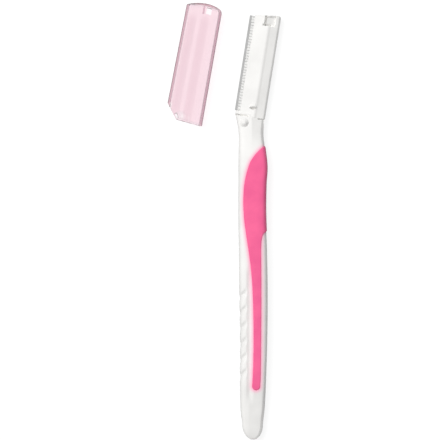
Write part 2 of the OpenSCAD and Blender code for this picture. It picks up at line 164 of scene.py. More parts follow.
def weldedPiece(name, grids, material, body, node, values=None, keeps=(), sharpAngle=38):
    # joins grids of points (rows, columns, 3) into quads and welds the points that touch;
    # keeps says for the first grids which of their quads are made
    points = np.concatenate([g.reshape(-1, 3) for g in grids]) * mm
    quads, start = [], 0
    for k, grid in enumerate(grids):
        index = np.arange(grid[..., 0].size).reshape(grid.shape[:2]) + start
        quad = np.stack([index[:-1, :-1], index[:-1, 1:], index[1:, 1:], index[1:, :-1]], -1)
        quads.append(quad[keeps[k]] if k < len(keeps) else quad.reshape(-1, 4))
        start += index.size
    mesh = bpy.data.meshes.new(name)
    mesh.from_pydata(points.tolist(), [], np.concatenate(quads).tolist())
    for label, value in (values or {}).items():
        mesh.attributes.new(label, "FLOAT", "POINT").data.foreach_set("value", value.ravel())
    shell = bmesh.new()
    shell.from_mesh(mesh)
    bmesh.ops.remove_doubles(shell, verts=shell.verts, dist=weldDistance)
    bmesh.ops.dissolve_degenerate(shell, edges=shell.edges, dist=weldDistance)
    bmesh.ops.recalc_face_normals(shell, faces=shell.faces)
    openEdges = sum(1 for e in shell.edges if len(e.link_faces) != 2)
    shell.to_mesh(mesh)
    shell.free()
    mesh.shade_smooth()
    mesh.set_sharp_from_angle(angle=math.radians(sharpAngle))
    mesh.materials.append(material)
    piece = shown(name, mesh)
    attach(piece, body)
    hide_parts(node)
    print(name, "built:", len(mesh.polygons), "faces,", openEdges, "open edges")


def roundedBox(low, high, radius, steps=4):
    # box with rounded edges: each direction of a sphere, scaled to the radius, is carried to
    # the corner of the inner box that lies on its side
    low, high = np.array(low, float), np.array(high, float)
    quarter = np.linspace(0, np.pi / 2, steps + 1)
    turn = np.concatenate([quarter + k * np.pi / 2 for k in range(4)])
    signX = np.repeat([1, -1, -1, 1], steps + 1)
    signY = np.repeat([1, 1, -1, -1], steps + 1)
    turn, signX, signY = (np.append(a, a[0]) for a in (turn, signX, signY))
    lift = np.concatenate([quarter - np.pi / 2, quarter])[:, None]
    signZ = np.repeat([-1, 1], steps + 1)[:, None]
    inner = (high - low) / 2 - radius
    x = signX * inner[0] + radius * np.cos(lift) * np.cos(turn)
    y = signY * inner[1] + radius * np.cos(lift) * np.sin(turn)
    z = signZ * inner[2] + radius * np.sin(lift) + 0 * turn
    skin = np.stack([x, y, z], -1)
    middle = np.array([[[0, 0, -inner[2] - radius]], [[0, 0, inner[2] + radius]]])
    ends = np.repeat(middle, skin.shape[1], 1)
    return np.concatenate([ends[:1], skin, ends[1:]]) + (low + high) / 2


def dome(centre, radius, base, top, bell=False, steps=16, around=64):
    # turned boss over a round wall: half an ellipsoid from base to top, or a hump if it is a bell
    q = np.linspace(0, 1, steps)[:, None]
    angle = np.linspace(0, 2 * np.pi, around + 1)
    out = q if bell else np.sin(q * np.pi / 2)
    up = hump(q) if bell else np.cos(q * np.pi / 2)
    r = np.concatenate([out * radius, [[radius], [0]]])
    z = np.concatenate([base + (top - base) * up, [[0], [0]]])
    x, y = r * np.cos(angle), r * np.sin(angle)
    return np.stack([x, y, z + 0 * angle], -1) + np.array([centre[0], centre[1], 0])


def capped(grid):
    # a tube of rings with each end closed on the middle of its last ring
    middles = grid[[0, -1]].mean(1, keepdims=True)
    first, last = np.repeat(middles, grid.shape[1], 1)
    return np.concatenate([first[None], grid, last[None]])


# Helpers for materials

def linear(text, alpha=1):
    # sRGB hex text to linear light
    value = np.array([int(text[i:i + 2], 16) for i in (1, 3, 5)]) / 255
    light = np.where(value <= 0.04045, value / 12.92, ((value + 0.055) / 1.055) ** 2.4)
    return (*light.tolist(), alpha)


def addNode(tree, kind, settings=None, links=None):
    # one node: settings fill its fields and sockets by name or number, links feed its sockets
    node = tree.nodes.new(kind)
    for key, value in (settings or {}).items():
        if isinstance(key, str) and hasattr(node, key):
            setattr(node, key, value)
        else:
            node.inputs[key].default_value = value
    for key, source in (links or {}).items():
        tree.links.new(source, node.inputs[key])
    return node


def newMaterial(name, build, *given):
    # a material whose output shows what the function build makes in its tree
    material = bpy.data.materials.new(name)
    material.use_nodes = True
    tree = material.node_tree
    tree.nodes.clear()
    addNode(tree, "ShaderNodeOutputMaterial", {}, build(tree, *given))
    return material


def objectPlace(tree):
    return addNode(tree, "ShaderNodeTexCoord").outputs["Object"]


def attribute(tree, label):
    return addNode(tree, "ShaderNodeAttribute", {"attribute_name": label}).outputs["Fac"]


def principled(tree, settings, links):
    return addNode(tree, "ShaderNodeBsdfPrincipled", settings, links).outputs["BSDF"]


def mixColour(tree, factor, a, b):
    # mixes two colours, each a linear colour or a socket, by a socket
    node = addNode(tree, "ShaderNodeMix", {"data_type": "RGBA"}, {0: factor})
    for slot, colour in ((6, a), (7, b)):
        if isinstance(colour, tuple):
            node.inputs[slot].default_value = colour
        else:
            tree.links.new(colour, node.inputs[slot])
    return node.outputs[2]


def ramp(tree, source, low, high, toLow=0, toHigh=1):
    # spreads a value between two limits
    node = addNode(tree, "ShaderNodeMapRange", {"From Min": low, "From Max": high,
                   "To Min": toLow, "To Max": toHigh}, {"Value": source})
    return node.outputs["Result"]


def noise(tree, place, grainMm, detail=3):
    # noise whose grain measures so many millimetres
    node = addNode(tree, "ShaderNodeTexNoise", {"Scale": 1 / (grainMm * mm), "Detail": detail},
                   {"Vector": place})
    return node.outputs["Fac"]


def bumped(tree, height, finish):
    # normals lifted by a height, as far as the finish says
    node = addNode(tree, "ShaderNodeBump",
                   {"Strength": finish["bumpStrength"], "Distance": finish["bumpMm"] * mm},
                   {"Height": height})
    return node.outputs["Normal"]


plasticIndex = 1.5  # how strongly an opaque plastic bends light
grainSpan = (0.3, 0.7)  # part of a noise's range that grain and grinding lines use


def driftColour(tree, place, finish):
    # a resin's own colour, which drifts slowly to its shade and back
    drift = ramp(tree, noise(tree, place, finish["driftMm"]), *finish["driftSpan"])
    return mixColour(tree, drift, linear(finish["colour"]), linear(finish["shade"]))


def grainedPlastic(tree, place, finish, colour):
    # opaque plastic whose fine grain lifts the surface and moves its gloss between two values
    grain = noise(tree, place, finish["grainMm"])
    links = {"Base Color": colour, "Roughness": ramp(tree, grain, *grainSpan, *finish["roughness"]),
             "Normal": bumped(tree, grain, finish)}
    settings = {"IOR": plasticIndex, "Specular IOR Level": finish["specular"]}
    return {"Surface": principled(tree, settings, links)}


whitePlastic = {
    "colour": "#F4F3F1",
    "shade": "#EDECEA",  # slow drift of the resin's own tone
    "paintedGripLight": "#FCBCD2",  # painted pink glow beside the soft grip, standing in for the light it throws onto the white resin
    "driftMm": 9,
    "driftSpan": (0.35, 0.65),  # part of the noise's range over which the tone drifts
    "roughness": (0.3, 0.39),
    "specular": 0.35,
    "grainMm": 0.35,
    "bumpMm": 0.012,
    "bumpStrength": 0.5,
}


def mouldedAbs(tree, paintsGripLight):
    # ABS, injection moulded in a polished tool with a fine spark-eroded grain:
    # opaque white with a soft gloss, and a painted pink glow beside the soft grip where the flag asks for
    # it
    place = objectPlace(tree)
    colour = driftColour(tree, place, whitePlastic)
    if paintsGripLight:
        # painted pink glow beside the grip, mixed into the white
        colour = mixColour(tree, attribute(tree, "paintedGripGlow"), colour, linear(whitePlastic["paintedGripLight"]))
    return grainedPlastic(tree, place, whitePlastic, colour)


combPlastic = {
    "colour": "#E6E6E4",
    "shade": "#D9D9D8",
    "driftMm": 1.3,
    "driftSpan": (0.3, 0.7),
    "roughness": 0.4,
    "specular": 0.35,
}


def mouldedComb(tree):
    # ABS, moulded very thin: nearly the head's white, a little duller and greyer in patches
    settings = {"IOR": plasticIndex, "Roughness": combPlastic["roughness"],
                "Specular IOR Level": combPlastic["specular"]}
    links = {"Base Color": driftColour(tree, objectPlace(tree), combPlastic)}
    return {"Surface": principled(tree, settings, links)}


gripRubber = {
    "colour": "#FA6C9D",
    "shade": "#F06396",
    "driftMm": 6,
    "driftSpan": (0.35, 0.65),
    "roughness": (0.41, 0.52),
    "specular": 0.3,
    "grainMm": 0.4,
    "bumpMm": 0.02,
    "bumpStrength": 0.6,
}


def mouldedElastomer(tree):
    # thermoplastic elastomer, moulded over the handle against a matt tool: strong pink, satin
    place = objectPlace(tree)
    return grainedPlastic(tree, place, gripRubber, driftColour(tree, place, gripRubber))


bladeSteel = {
    "colour": "#DADADA",
    "shade": "#C1C1C0",
    "roughness": (0.2, 0.36),
    "grindMm": 0.12,  # real grinding lines are about 0.01 mm apart, drawn coarser so that they show
    "grindDetail": 4,
    "grindStretch": 0.08,  # draws the lines out across the blade
}


def groundSteel(tree):
    # stainless strip, rolled and then ground along its edge: grey and bright, with fine lines
    # across the bevel
    stretch, turn = bladeSteel["grindStretch"], math.radians(layout["head"][2])
    turned = addNode(tree, "ShaderNodeMapping",
                     {"Rotation": (0, 0, turn), "Scale": (stretch, 1, stretch)},
                     {"Vector": objectPlace(tree)}).outputs["Vector"]
    lines = noise(tree, turned, bladeSteel["grindMm"], bladeSteel["grindDetail"])
    tones = linear(bladeSteel["colour"]), linear(bladeSteel["shade"])
    links = {"Base Color": mixColour(tree, ramp(tree, lines, *grainSpan), *tones),
             "Roughness": ramp(tree, lines, *grainSpan, *bladeSteel["roughness"])}
    return {"Surface": principled(tree, {"Metallic": 1.0}, links)}


clearPink = {
    "tint": "#FFF7FA",  # each face that light crosses
    "paintedLightTint": "#FFFFFF",  # painted light: faces turn whiter where the walls are marked for it
    "paintedShadeTint": "#E4DAE2",  # painted shade: faces turn greyer where the walls are marked for it, most over the side walls
    "absorb": "#E4C2CB",  # light that the dye lets through
    "density": 200,  # strength of the dye, per metre
    "shadow": "#FBE3EA",
    "roughness": 0.05,
    "ior": 1.52,
    "rippleMm": 5,
    "bumpMm": 0.03,
    "bumpStrength": 0.4,
}


def clearStyrene(tree):
    # clear polystyrene, dyed pale pink and moulded with polished walls: nearly colourless
    # through its flat walls and deep pink along its edges, with a plain pale shadow; painted
    # shade and painted light are mixed into its colour
    ripple = noise(tree, objectPlace(tree), clearPink["rippleMm"], 1)
    colour = linear(clearPink["tint"])
    # painted shade, then painted light, mixed into the tint where each wall's attributes ask
    for label, tint in (("paintedWallShade", "paintedShadeTint"), ("paintedWallLight", "paintedLightTint")):
        colour = mixColour(tree, attribute(tree, label), colour, linear(clearPink[tint]))
    settings = {"Transmission Weight": 1.0, "IOR": clearPink["ior"],
                "Roughness": clearPink["roughness"]}
    glass = principled(tree, settings, {"Base Color": colour, "Normal": bumped(tree, ripple, clearPink)})
    clear = addNode(tree, "ShaderNodeBsdfTransparent", {"Color": linear(clearPink["shadow"])})
    lamp = addNode(tree, "ShaderNodeLightPath").outputs["Is Shadow Ray"]
    both = addNode(tree, "ShaderNodeMixShader", {}, {0: lamp, 1: glass, 2: clear.outputs["BSDF"]})
    dye = addNode(tree, "ShaderNodeVolumeAbsorption",
                  {"Color": linear(clearPink["absorb"]), "Density": clearPink["density"]})
    return {"Surface": both.outputs["Shader"], "Volume": dye.outputs["Volume"]}


handleAbs = newMaterial("mouldedHandleAbs", mouldedAbs, True)
headAbs = newMaterial("mouldedHeadAbs", mouldedAbs, False)
combAbs = newMaterial("mouldedCombAbs", mouldedComb)
elastomer = newMaterial("overmouldedElastomer", mouldedElastomer)
steel = newMaterial("groundStainlessSteel", groundSteel)
styrene = newMaterial("clearMouldedStyrene", clearStyrene)
print("materials ready")


# Handle

handle = {
    "length": 113.98,
    "tail": -77.58,  # place of the tail along Y
    "halfWidth": 5.2,
    "halfThickness": 3.3,
    "tailRound": 4.5,
    "power": 3.1,  # exponent of the rounded section
    "flat": 1.1,  # how far the rounding is cut flat
    "flatBlend": 0.16,
    "leanFrom": 0.86,  # share of the length where the neck starts to lean
    "ridgeX": -0.5,  # the head's ridge runs on over the neck at this place
    "spineFall": 0.34,  # fall of the neck towards the spine, per millimetre
    "spineBevel": (0.95, 0.8),  # width and fall per millimetre of the bevel along its spine edge
    "tailFall": (-1.6, 0.25),  # start and fall per millimetre of the same slope at the tail
    "tailBevel": 1.25,  # strength of the bevel there
    "tailMost": 0.85,  # share of the thickness that both may take
    "tailFades": (0.17, 0.08),  # share of the length where it ends, and over which it fades
    "endRound": 0.2,
    "endRings": 6,
    "rings": 336,
    "tailRings": 26,
    "around": 220,
    "samples": 4001,  # fine points round one section, to space the others evenly
    # share of the length, reach to the left and right and thickness as shares of the half sizes
    "shares": [
        (0, 0.64, 0.62, 0.36), (0.05, 0.75, 0.67, 0.52), (0.10, 0.865, 0.79, 0.69),
        (0.19, 0.90, 0.885, 0.92), (0.31, 0.895, 0.965, 1), (0.45, 0.945, 0.99, 1),
        (0.58, 0.97, 0.95, 1), (0.70, 1.01, 0.855, 1), (0.79, 1, 0.875, 1),
        (0.845, 1, 0.945, 1), (0.90, 0.98, 0.825, 0.87), (0.95, 0.99, 0.70, 0.70),
        (1, 1.19, 0.785, 0.59)],
    # lobe that snaps into the cap, in the head's plan
    "lobe": (-1.4, -2.35),
    "lobeRadius": 2.0,
    "lobeBase": 1.88,
    "lobeTop": 3.2,
    # cut in its end on the spine's side: start, reach, loss of reach per millimetre and depth
    "step": (1.65, 0.4, 0.16, 0.9),
    "stepSoft": (0.08, 0.1),  # width of its lower edge and of its edge at the start
    "stepEnd": (3.9, 0.7),  # where the cut runs out, and over which width
    "stepRings": (8, 0.2),  # rings over the cut, and how far below it they begin
    "stepMost": 0.98,  # share of the thickness that it may take
}

rail = {
    "channelX": 1.2,
    "channelWidth": 1.5,
    "channelDepth": 0.46,
    "channelStart": 14.5,
    "notchCount": 6,
    "notchPitch": 5.6,
    "notchStart": 26.35,
    "notchDepth": 0.8,
    "notchWidth": 1.5,
    "notchInset": 0.25,
    "notchSlant": 38,
    "notchFoot": 1.75,
    "notchFades": (1.5, 2.2),  # where the notches run out beside the channel, and over which width
}


def notchAt(x, y):
    # slanted grooves at an even pitch: a hump across each, counted from the first
    slant = math.radians(rail["notchSlant"])
    shift = -y - rail["notchStart"] + (x + handle["halfWidth"] - rail["notchFoot"]) * math.tan(slant)
    k = np.clip(np.round(shift / rail["notchPitch"]), 0, rail["notchCount"] - 1)
    return hump((shift - k * rail["notchPitch"]) / rail["notchWidth"] * math.cos(slant))


def railRelief(x, y):
    # the deeper of the long channel, eased in and out, and the notches across the rail beside it
    span = (rail["notchCount"] + 1) * rail["notchPitch"]
    channel = rail["channelDepth"] * hump((x + rail["channelX"]) / rail["channelWidth"])
    channel = channel * ease((y + rail["notchStart"] + span) / rail["notchPitch"])
    channel = channel * ease((-y - rail["channelStart"]) / rail["notchPitch"])
    until, fades = rail["notchFades"]
    beside = ease((-until - x) / fades)
    return np.maximum(channel, rail["notchDepth"] * notchAt(x, y) * beside)


def reaches(s):
    # half widths to the left and right and half thickness at share s, drawn in by a quarter
    # circle along the tail
    q = 1 - np.clip(s * handle["length"] / handle["tailRound"], 0, 1)
    f = np.sqrt(1 - q * q)
    left = handle["halfWidth"] * along(handle["shares"], s, 1) * f
    right = handle["halfWidth"] * along(handle["shares"], s, 2) * f
    thick = handle["halfThickness"] * np.minimum(along(handle["shares"], s, 3), 1) * f
    return left, right, thick


def handleSkin(s, angle, grow=0, relief=True):
    # superellipse round the handle: x is the reach times the cosine to the power 2/p, and the
    # height is the thickness times the sine to the power 2/p, cut flat, less the rail's relief
    left, right, thick = reaches(s)
    y = handle["tail"] + s * handle["length"] + 0 * angle
    left = left - (rail["notchInset"] * notchAt(-left, y) if relief else 0)
    c, sn = np.cos(angle), np.sin(angle)
    u = np.sign(c) * np.abs(c) ** (2 / handle["power"])
    x = u * (np.where(u < 0, left, right) + grow)
    neck = ease((s - handle["leanFrom"]) / (1 - handle["leanFrom"]))
    wide, steep = handle["spineBevel"]
    bevel = np.maximum(x - right + wide, 0) * steep
    fall = np.maximum(x - handle["ridgeX"], 0) * handle["spineFall"] + bevel
    tailFrom, tailSlope = handle["tailFall"]
    until, fades = handle["tailFades"]
    tailFall = np.maximum(x - tailFrom, 0) * tailSlope + bevel * handle["tailBevel"]
    tailFall = tailFall * ease((until - s) / fades) * thick / handle["halfThickness"]
    rise = handle["flat"] * np.abs(sn) ** (2 / handle["power"])
    rise = softLeast(rise, 1, handle["flatBlend"])
    h = (thick - neck * fall - np.minimum(tailFall, thick * handle["tailMost"]) + grow) * rise
    if relief:
        h = h - railRelief(x, y) * ease(rise)
    lean = math.tan(math.radians(layout["head"][2])) * neck
    y = y - (x - layout["head"][0]) * lean
    return np.stack([x, y, layout["midZ"] + np.maximum(h, 0) * np.where(sn < 0, -1, 1)], -1)


def evenAngles(count):
    # angles that part a section of the middle of the handle into equal lengths
    fine = np.linspace(0, 2 * np.pi, handle["samples"])
    middle = np.array([[0.5]])
    ring = handleSkin(middle, fine[None], relief=False)[0]
    run = np.append(0, np.cumsum(np.linalg.norm(np.diff(ring, axis=0), axis=1)))
    return np.interp(np.linspace(0, run[-1], count + 1), run, fine)


# Soft grip, whose outline the handle needs for its recess

grip = {
    "proud": 0.25,
    "sink": 0.15,  # how far its rim lies under the skin of the handle
    "moat": (0.2, 0.1),  # width and depth of the soft edge that the handle has beside it
    "edgeRound": 0.36,
    "depth": 0.69,
    "dip": (0.5, 0.5),  # distance from its rim where the underside dips, and over which it does
    "recess": 0.85,
    "recessDip": (0.3, 0.5),  # the same for the handle's recess
    "rows": 250,
    "endRows": 22,
    "columns": 56,
    "search": (0.88, 2000),  # start and count of the shares searched for its upper end
    "paintedGlowMm": 0.85,  # reach of the painted pink glow into the white resin
    # share of the length and edge as a share of the half width
    "left": [
        (0.166, -0.075), (0.20, -0.03), (0.29, 0.025), (0.39, 0.005),
        (0.465, -0.05), (0.527, -0.15), (0.582, -0.305), (0.632, -0.47), (0.68, -0.61),
        (0.73, -0.675), (0.77, -0.65), (0.80, -0.575), (0.833, -0.41), (0.86, -0.20),
        (0.88, 0.08), (0.896, 0.38), (0.909, 0.69), (0.916, 0.92)],
    "right": [
        (0.166, 0.47), (0.20, 0.505), (0.30, 0.535), (0.45, 0.55),
        (0.58, 0.54), (0.61, 0.55), (0.623, 0.585), (0.637, 0.68), (0.646, 0.90),
        (0.65, 1.05)],
}
gripLow = grip["left"][0][0]
gripWide = grip["right"][0][1] - grip["left"][0][1]
gripEnd = gripWide / 2 * handle["halfWidth"]  # radius of its round end


def gripEdges(s):
    # angles of the grip's left and right edges: a circle draws them in at the round end, and
    # each place across is turned back into the section's angle
    left, right = reaches(s)[:2]
    last = grip["right"][-1][0]
    edgeLeft = handle["halfWidth"] * along(grip["left"], np.maximum(s, gripLow), 1)
    edgeRight = handle["halfWidth"] * along(grip["right"], np.clip(s, gripLow, last), 1)
    edgeRight = np.where(s > last, handle["halfWidth"] * 2, edgeRight)
    below = np.clip((gripLow - s) * handle["length"] / gripEnd, 0, 1)
    middle = (grip["left"][0][1] + grip["right"][0][1]) / 2 * handle["halfWidth"]
    half = gripEnd * np.sqrt(1 - below * below)
    edgeLeft = np.where(s < gripLow, middle - half, edgeLeft)
    edgeRight = np.where(s < gripLow, middle + half, edgeRight)

    def toAngle(x):
        u = np.clip(np.where(x < 0, x / left, x / right), -1, 1)
        return np.arccos(np.sign(u) * np.abs(u) ** (handle["power"] / 2))

    return toAngle(edgeLeft), toAngle(edgeRight)


fineShares = np.linspace(grip["search"][0], grip["left"][-1][0], grip["search"][1])
gripHigh = fineShares[np.argmax(gripEdges(fineShares)[0] <= tiny)]
gripRound = gripLow - gripEnd / handle["length"] * (1 - roundIn(grip["endRows"]))
gripShares = np.append(gripRound[:-1], np.linspace(gripLow, gripHigh, grip["rows"]))[:, None]
edgeLeft, edgeRight = gripEdges(gripShares)
rimLeft = handleSkin(gripShares, edgeLeft, relief=False)[:, 0]
rimRight = handleSkin(gripShares, edgeRight, relief=False)[:, 0][edgeRight[:, 0] > tiny]
gripRim = np.concatenate([rimLeft, rimRight])


def gripPiece():
    # the handle's skin between the two edges, lifted by a quarter round along its rim, over a
    # floor that dips into the recess: one half for each face, welded where it wraps the spine
    q = (1 - np.cos(np.linspace(0, np.pi, grip["columns"]))) / 2
    angle = edgeRight + (edgeLeft - edgeRight) * q
    inside = nearest(handleSkin(gripShares, angle, relief=False), gripRim)
    fall = quarterRound(inside, grip["edgeRound"]) / grip["edgeRound"]
    begins, over = grip["dip"]
    lift = grip["proud"] - fall * (grip["proud"] + grip["sink"])
    floor = -grip["sink"] - grip["depth"] * ease((inside - begins) / over)
    halves = [handleSkin(gripShares, angle, grow, False) for grow in (lift, floor)]
    shift = np.array([0, 0, 2 * layout["midZ"]])
    grids = halves + [backFace(g) + shift for g in halves]
    weldedPiece("softGrip", grids, elastomer, "razor", "soft_grip")


def stepCut(across, fromEnd):
    # depth of the cut in the neck's end: full within its reach, which shrinks to the spine's
    # side, and eased out at both of its ends
    start, reach, loss, deep = handle["step"]
    low, side = handle["stepSoft"]
    until, fades = handle["stepEnd"]
    cut = deep * ease((reach - loss * (across - start) - fromEnd) / low + 0.5)
    return cut * ease((across - start) / side) * ease((until - across) / fades)


def handlePiece():
    # rings of the skin from the pole of the tail to the shoulder, with the recess for the grip
    # let in, and a lobe on each face of the neck
    tailShare = handle["tailRound"] / handle["length"]
    tail = tailShare * roundIn(handle["tailRings"])
    rings, spare = handle["stepRings"]
    end = np.append(np.linspace(handle["step"][1] + spare, handle["endRound"], rings)[:-1],
                    handle["endRound"] * roundOut(handle["endRings"]))
    end = 1 - end / handle["length"]
    s = np.concatenate([tail[:-1], np.linspace(tailShare, end[0], handle["rings"])[:-1], end])[:, None]
    angle = evenAngles(handle["around"])[None]
    folded = np.where(angle > np.pi, 2 * np.pi - angle, angle)
    high, low = gripEdges(s)
    covered = (folded > low) & (folded < high) & (s > gripRound[0]) & (s < gripHigh)
    distance = nearest(handleSkin(s, folded, relief=False), gripRim)
    inside = np.where(covered, distance, -distance)
    beside, soft = grip["moat"]
    begins, over = grip["recessDip"]
    recess = soft * ease(inside / beside + 1) + (grip["recess"] - soft) * ease((inside - begins) / over)
    # painted pink glow: full under the grip and fading with distance beside its rim
    glow = np.where(covered, 1, np.exp(-(distance / grip["paintedGlowMm"]) ** 2))
    fromEnd = (1 - s) * handle["length"]
    shoulder = quarterRound(fromEnd, handle["endRound"])
    skin = handleSkin(s, angle + 0 * s, -recess - shoulder)
    cut = stepCut(skin[..., 0], fromEnd)
    up = skin[..., 2] - layout["midZ"]
    skin[..., 2] -= np.sign(up) * np.minimum(cut, np.abs(up) * handle["stepMost"])
    skin = capped(skin)
    glow = np.concatenate([glow[:1], glow, glow[-1:]])
    lobe = dome(handle["lobe"], handle["lobeRadius"], handle["lobeBase"], handle["lobeTop"], True)
    grids = [skin, placed(lobe, "head"), placed(backFace(lobe), "head")]
    glow = np.concatenate([glow.ravel(), np.zeros(2 * lobe[..., 0].size)])
    weldedPiece("handleBody", grids, handleAbs, "razor", "handle_body",
                values={"paintedGripGlow": glow})


handlePiece()
gripPiece()


# Blade head

head = {
    "halfWidth": 5.5,
    "length": 35.62,
    "slant": 7.2,
    "faceLeft": -3.6,  # where the faces end and the combs show
    # corners of its front half: face, ridge, steep strip beside the ridge, slope, spine
    "section": [(-3.6, 0), (-3.6, 1.35), (1.55, 1.95), (2.4, 1.52), (4.85, 0.78), (5.5, 0.1), (5.5, 0)],
    "sectionRounds": [0.2, 1.5, 2.2, 1.0, 0.1],
    "sectionStep": 0.04,
    "cornerRound": 1.15,
    "edgeRound": 0.22,
    "seam": 0.01,  # half of the gap between the two halves
    "start": (0.02, -0.35, 0.16),  # low edge left and right of the tongue, and its rise per millimetre
    "chamfer": (0.55, 0.1),  # where the slopes down to the low edge begin
    "chamferSlope": 1.55,
    "lip": (0.95, 0.45, 0.1),  # place, reach and height of the low ridge over the left slope
    "notch": (-0.57, 3.8),
    "notchBottom": 32.7,
    "notchRound": 0.12,
    "notchSink": 0.02,  # least depth of its floor under the face
    "notchFloor": 0.12,
    "notchTrench": 1.25,  # width of the deep strip along the notch's left wall
    "trenchRamp": 1.9,
    "notchShelf": 0.2,
    "notchRamp": 0.42,
    "notchLip": 0.9,
    "notchGroove": (1.1, 0.8),  # depth at its bottom, and reach up and to the right wall
    "snap": (0.7, 3.36),  # middle of the snap slot
    "snapReach": (1.22, 0.57),
    "snapDepth": 1.6,
    "snapTilt": 0.35,  # share by which its floor falls to the right
    "snapWall": 4,  # steepness of its wall
    "snapRise": 0.32,
    "ridgeShares": (1.15, 2.6, 0.6),  # reach of the ridge and place of its foot, by the slot's reach
    "tongue": (-0.3, 2.9, -2.5, 1.0),  # left, right, low and high end
    "tongueFace": (0.99, 2.0),
    "tongueRound": 0.12,
    "tongueEase": 0.2,  # width over which the low edge's slopes fade beside it
    "tongueBend": 0.8,  # where it starts to fall with the neck
    "foot": ((-5.2, 0.02, 0.01), (-3.3, 1.6, 1.11), 0.2),  # under the blade, with its radius
    "coverFoot": 0.4,  # low end of the same foot in front
    "stakeRadius": 1.4,
    "stakeFace": (1.6, 1.85),
    "stakes": ((-1.95, 6.46), (-1.95, 30.76)),
}

# lines of the grid that carries the head's faces
headGrid = {
    "edges": (8, 7, 24),  # over the rounded left edge, low edge and spine corner
    "across": (0.1, 0.02),  # step, and width of the pair of lines at each stop
    "along": (0.055, 0.35),  # step up to the snap ridge, and above it
    "fineOver": 1.2,  # how far above the snap slot the fine steps go
    "notch": (6, 0.2, 0.01),  # lines over its rounded bottom, space under them, half of the last pair
    "high": (34, 0.9, 0.925),  # lines up to this share of the notch's height, and one more
    "end": (9, 0.062),  # lines over the rounded free end, and its share of the notch's height
}


def headStart(u, front):
    # straight low edge, which starts further down on the spine's side of the tongue and rises
    low, side, rise = head["start"]
    return np.where(front & (u > head["tongue"][1]), side + rise * (u - head["tongue"][1]), low)


def headEnd(u):
    # slanted free end, rounded by a quarter circle at the spine's corner
    end = head["length"] + (u + head["halfWidth"]) * math.tan(math.radians(head["slant"]))
    return end - quarterRound(head["halfWidth"] - u, head["cornerRound"])


def snapRelief(u, v):
    # height of the snap ridge, half an ellipsoid, less the depth of the lens-shaped slot below
    # it, whose floor falls down the head and to the right
    across = (u - head["snap"][0]) / head["snapReach"][0]
    beside = (v - head["snap"][1]) / head["snapReach"][1]
    slot = np.clip(1 - across**2 - beside**2, 0, 1)
    wide, high, foot = head["ridgeShares"]
    rise = np.clip(1 - (across / wide) ** 2 - (beside / high) ** 2, 0, 1) * ease(beside + foot)
    rise = head["snapRise"] * np.sqrt(rise)
    floor = np.clip((1 - beside) / 2 + head["snapTilt"] * across, 0, 1)
    return rise - (head["snapDepth"] + rise) * ease(slot * head["snapWall"]) * floor


def lowSlopes(u, v):
    # fall of the cover's face to its low edge on both sides of the tongue, less the low ridge
    first, last = head["tongue"][:2]
    left, right = ease((first - u) / head["tongueEase"]), ease((u - last) / head["tongueEase"])
    place, reach, height = head["lip"]
    foot = np.where(u < last, *head["chamfer"])
    fall = head["chamferSlope"] * np.maximum(foot - v, 0) * np.maximum(left, right)
    return fall - height * hump((v - place) / reach) * left


def keyNotch(u, v):
    # distance outside the key notch and height of its floor: a ramp along the left wall, then a
    # shelf, with a groove along the bottom and a lip at the free end
    (left, right), bottom = head["notch"], head["notchBottom"]
    edge = np.maximum(np.maximum(left - u, u - right), bottom - v)
    trench = left + head["notchTrench"]
    lip = np.clip(head["notchLip"] - headEnd(u) + v, 0, head["notchLip"])
    deep, reach = head["notchGroove"]
    groove = deep * np.clip(1 - (v - bottom) / reach, 0, 1) * ease((right - u) / reach - 1)
    shelf = head["notchShelf"] + head["notchRamp"] * (right - u) + lip
    ramp = head["notchFloor"] + head["trenchRamp"] * (trench - u)
    return edge, np.where(u < trench, ramp, shelf) - groove


def headHeight(u, v, front):
    # two slopes that meet in a soft ridge, with a round spine edge and quarter rounds at both
    # ends, and the snap ridge and slot; in front also the low slopes and the key notch
    path = roundedPath(head["section"], head["sectionRounds"], head["sectionStep"])[1:-1]
    z = np.interp(u, path[:, 0], path[:, 1]) + snapRelief(u, v)
    r = head["edgeRound"]
    drop = np.maximum(quarterRound(headEnd(u) - v, r), quarterRound(v - headStart(u, front), r))
    if front:
        z = z - lowSlopes(u, v)
        edge, floor = keyNotch(u, v)
        drop = np.maximum(drop, np.where(edge > 0, quarterRound(edge, head["notchRound"]), 0))
        z = np.where(edge < 0, np.minimum(floor, z - head["notchSink"]), z - drop)
    else:
        z = z - drop
    return np.maximum(z, head["seam"])


def headShell(front):
    # height over a grid whose lines follow the edges, with a wall and a floor round its border
    u0, u1 = head["faceLeft"], head["halfWidth"]
    r = head["edgeRound"]
    notch, bottom = head["notch"], head["notchBottom"]
    left, low, spine = headGrid["edges"]
    corner = u1 - head["cornerRound"] * roundOut(spine)
    stops = sorted([u0 + r, head["tongue"][0], notch[0], notch[0] + head["notchTrench"],
                    head["tongue"][1], notch[1], corner[0]])
    u = np.concatenate([u0 + r * roundIn(left)[:-1], ticks(stops, *headGrid["across"])[:-1], corner])
    start, mark = head["start"][0], head["snap"][1] + headGrid["fineOver"]
    fine, coarse = headGrid["along"]
    count, space, pair = headGrid["notch"]
    v = np.concatenate([start + r * roundIn(low)[:-1],
                        np.arange(start + r, mark, fine),
                        np.arange(mark, bottom - space, coarse),
                        bottom - head["notchRound"] * (1 - roundIn(count)[:-1]),
                        [bottom - pair, bottom + pair]])[:, None]
    count, high, last = headGrid["high"]
    steps, share = headGrid["end"]
    tau = np.concatenate([np.linspace(0, high, count)[1:], [last], 1 - share * roundOut(steps)])[:, None]
    shift = (headStart(u, front) - start) * np.clip((mark - v) / (mark - start), 0, 1)
    v = np.concatenate([v + shift, v[-1] + tau * (headEnd(u) - v[-1])])
    u = u + 0 * v
    face = np.stack([u, v, headHeight(u, v, front)], -1)
    loop = np.concatenate([face[0], face[1:, -1], face[-1, -2::-1], face[-2::-1, 0]])
    flat = loop * np.array([1, 1, 0]) + np.array([0, 0, head["seam"]])
    middle = np.zeros_like(flat) + flat.mean(0)
    return [face, np.stack([loop, flat, middle])]


